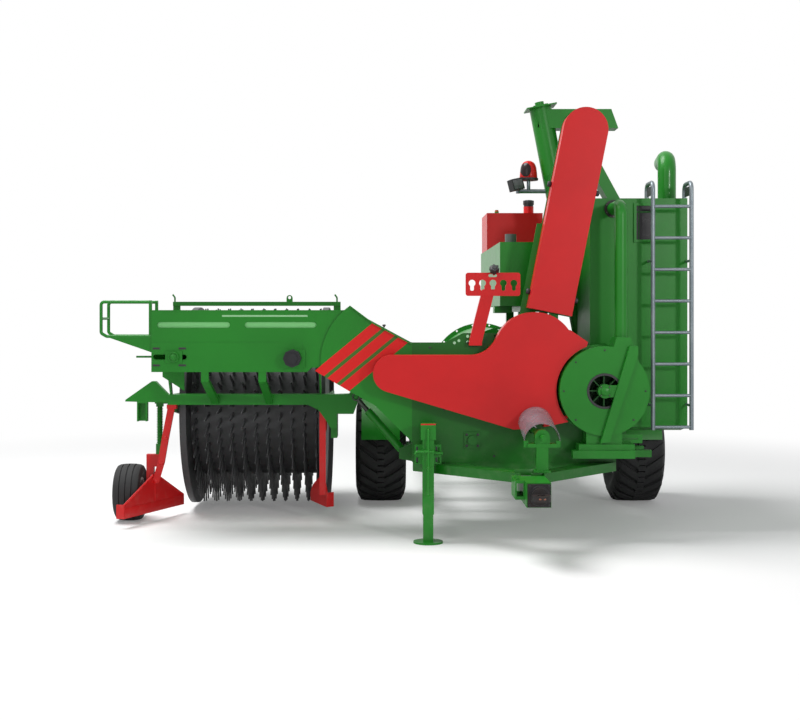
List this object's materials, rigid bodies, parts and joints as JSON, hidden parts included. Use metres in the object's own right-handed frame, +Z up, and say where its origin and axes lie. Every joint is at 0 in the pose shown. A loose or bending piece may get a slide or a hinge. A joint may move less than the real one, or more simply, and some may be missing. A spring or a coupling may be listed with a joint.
{
  "type": "towed pumpkin harvester",
  "caption": "Towed side-pickup pumpkin harvester with a tined drum, slatted conveyor, crusher body, sieve drum, fan, leaning elevator and seed tank on road wheels.",
  "frame": {"origin": "on the ground, under the middle of the whole machine", "axes": "+X to the right of the picture, -Y towards the tractor, +Z up"},
  "size_m": [4.223, 5.02, 3.1385],
  "materials": {
    "green_paint": "satin",
    "red_paint": "satin",
    "dark_paint": "satin",
    "tyre_rubber": "matte",
    "belt_rubber": "matte",
    "bright_steel": "satin",
    "chrome_rod": "polished",
    "clear_plastic": "gloss",
    "lamp_plastic": "gloss",
    "window_plastic": "gloss"
  },
  "bodies": {
    "chassis": {"frame": "green_paint", "axle": "green_paint", "hitch": "green_paint", "pto_stand": "green_paint", "jack_tube": "green_paint", "crusher_housing": "green_paint", "chute": "green_paint", "sieve_housing": "green_paint", "sieve_trough": "green_paint", "fan_housing": "green_paint", "fan_brace": "green_paint", "fan_stand": "green_paint", "blow_pipe": "green_paint", "guard_back": "green_paint", "seed_tank": "green_paint", "vent_pipe": "green_paint", "elevator_tube": "green_paint", "elevator_duct": "green_paint", "tank_hood": "green_paint", "tank_stand": "green_paint", "mudguard_left": "green_paint", "mudguard_right": "green_paint", "oil_tank": "green_paint", "drive_guard_low": "red_paint", "drive_guard_high": "red_paint", "water_tank": "red_paint", "hose_holder": "red_paint", "hose_post": "red_paint", "lamp_bracket": "dark_paint", "work_lamp": "dark_paint", "tow_eye": "bright_steel", "ladder": "bright_steel", "pto_shield": "clear_plastic", "beacon": "lamp_plastic", "tank_window": "window_plastic"},
    "power_shaft": {"pto_shaft": "bright_steel"},
    "sieve": {"sieve_drum": "bright_steel"},
    "fan": {"fan_rotor": "bright_steel"},
    "jack_foot": {"jack_leg": "green_paint"},
    "wheel_left": {"tyre_left": "tyre_rubber", "rim_left": "green_paint"},
    "wheel_right": {"tyre_right": "tyre_rubber", "rim_right": "green_paint"},
    "pickup": {"trough": "green_paint", "conveyor": "belt_rubber", "conveyor_rollers": "bright_steel", "conveyor_motor": "dark_paint", "pickup_beam": "green_paint", "drum_end_plates": "green_paint", "shoe_left": "red_paint", "shoe_right": "red_paint", "side_basket": "green_paint", "gauge_leg": "red_paint"},
    "tined_drum": {"pickup_drum": "dark_paint"},
    "gauge_wheel": {"gauge_tyre": "tyre_rubber", "gauge_rim": "dark_paint"},
    "lift_cylinder": {"lift_barrel": "bright_steel"},
    "lift_piston": {"lift_rod": "chrome_rod"}
  },
  "joints": [
    {"name": "power_shaft_turn", "type": "hinge", "parent": "chassis", "child": "power_shaft", "pos_m": [0.88948, -1.94, 0.745], "axis": [0, 1, 0], "continuous": true},
    {"name": "sieve_turn", "type": "hinge", "parent": "chassis", "child": "sieve", "pos_m": [0.81749, 0.86, 0.95], "axis": [0, 1, 0], "continuous": true},
    {"name": "fan_turn", "type": "hinge", "parent": "chassis", "child": "fan", "pos_m": [1.35048, -1.49, 1.017], "axis": [0, 1, 0], "continuous": true},
    {"name": "jack_slide", "type": "slide", "parent": "chassis", "child": "jack_foot", "axis": [0, 0, 1], "range_m": [0, 0.175]},
    {"name": "wheel_left_turn", "type": "hinge", "parent": "chassis", "child": "wheel_left", "pos_m": [-0.15452, 0.36, 0.4375], "axis": [1, 0, 0], "continuous": true},
    {"name": "wheel_right_turn", "type": "hinge", "parent": "chassis", "child": "wheel_right", "pos_m": [1.90949, 0.36, 0.4375], "axis": [1, 0, 0], "continuous": true},
    {"name": "pickup_lift", "type": "hinge", "parent": "chassis", "child": "pickup", "pos_m": [-0.07051, -0.82, 1.204], "axis": [0, 1, 0], "range_deg": [0, 15]},
    {"name": "drum_turn", "type": "hinge", "parent": "pickup", "child": "tined_drum", "pos_m": [-1.10051, 0.07, 0.809], "axis": [1, 0, 0], "continuous": true},
    {"name": "gauge_wheel_turn", "type": "hinge", "parent": "pickup", "child": "gauge_wheel", "pos_m": [-2.01152, -0.64, 0.21], "axis": [1, 0, 0], "continuous": true},
    {"name": "lift_cylinder_tilt", "type": "hinge", "parent": "chassis", "child": "lift_cylinder", "pos_m": [0.02249, -0.868, 0.524], "axis": [0, 1, 0], "range_deg": [-1, 1]},
    {"name": "lift_piston_slide", "type": "slide", "parent": "lift_cylinder", "child": "lift_piston", "axis": [-0.6551, 0, 0.7556], "range_m": [0, 0.1]}
  ],
  "couplings": [
    {"joint": "lift_cylinder_tilt", "follows": "pickup_lift", "ratio": 0.006},
    {"joint": "lift_piston_slide", "follows": "pickup_lift", "m_per_rad": 0.376}
  ]
}
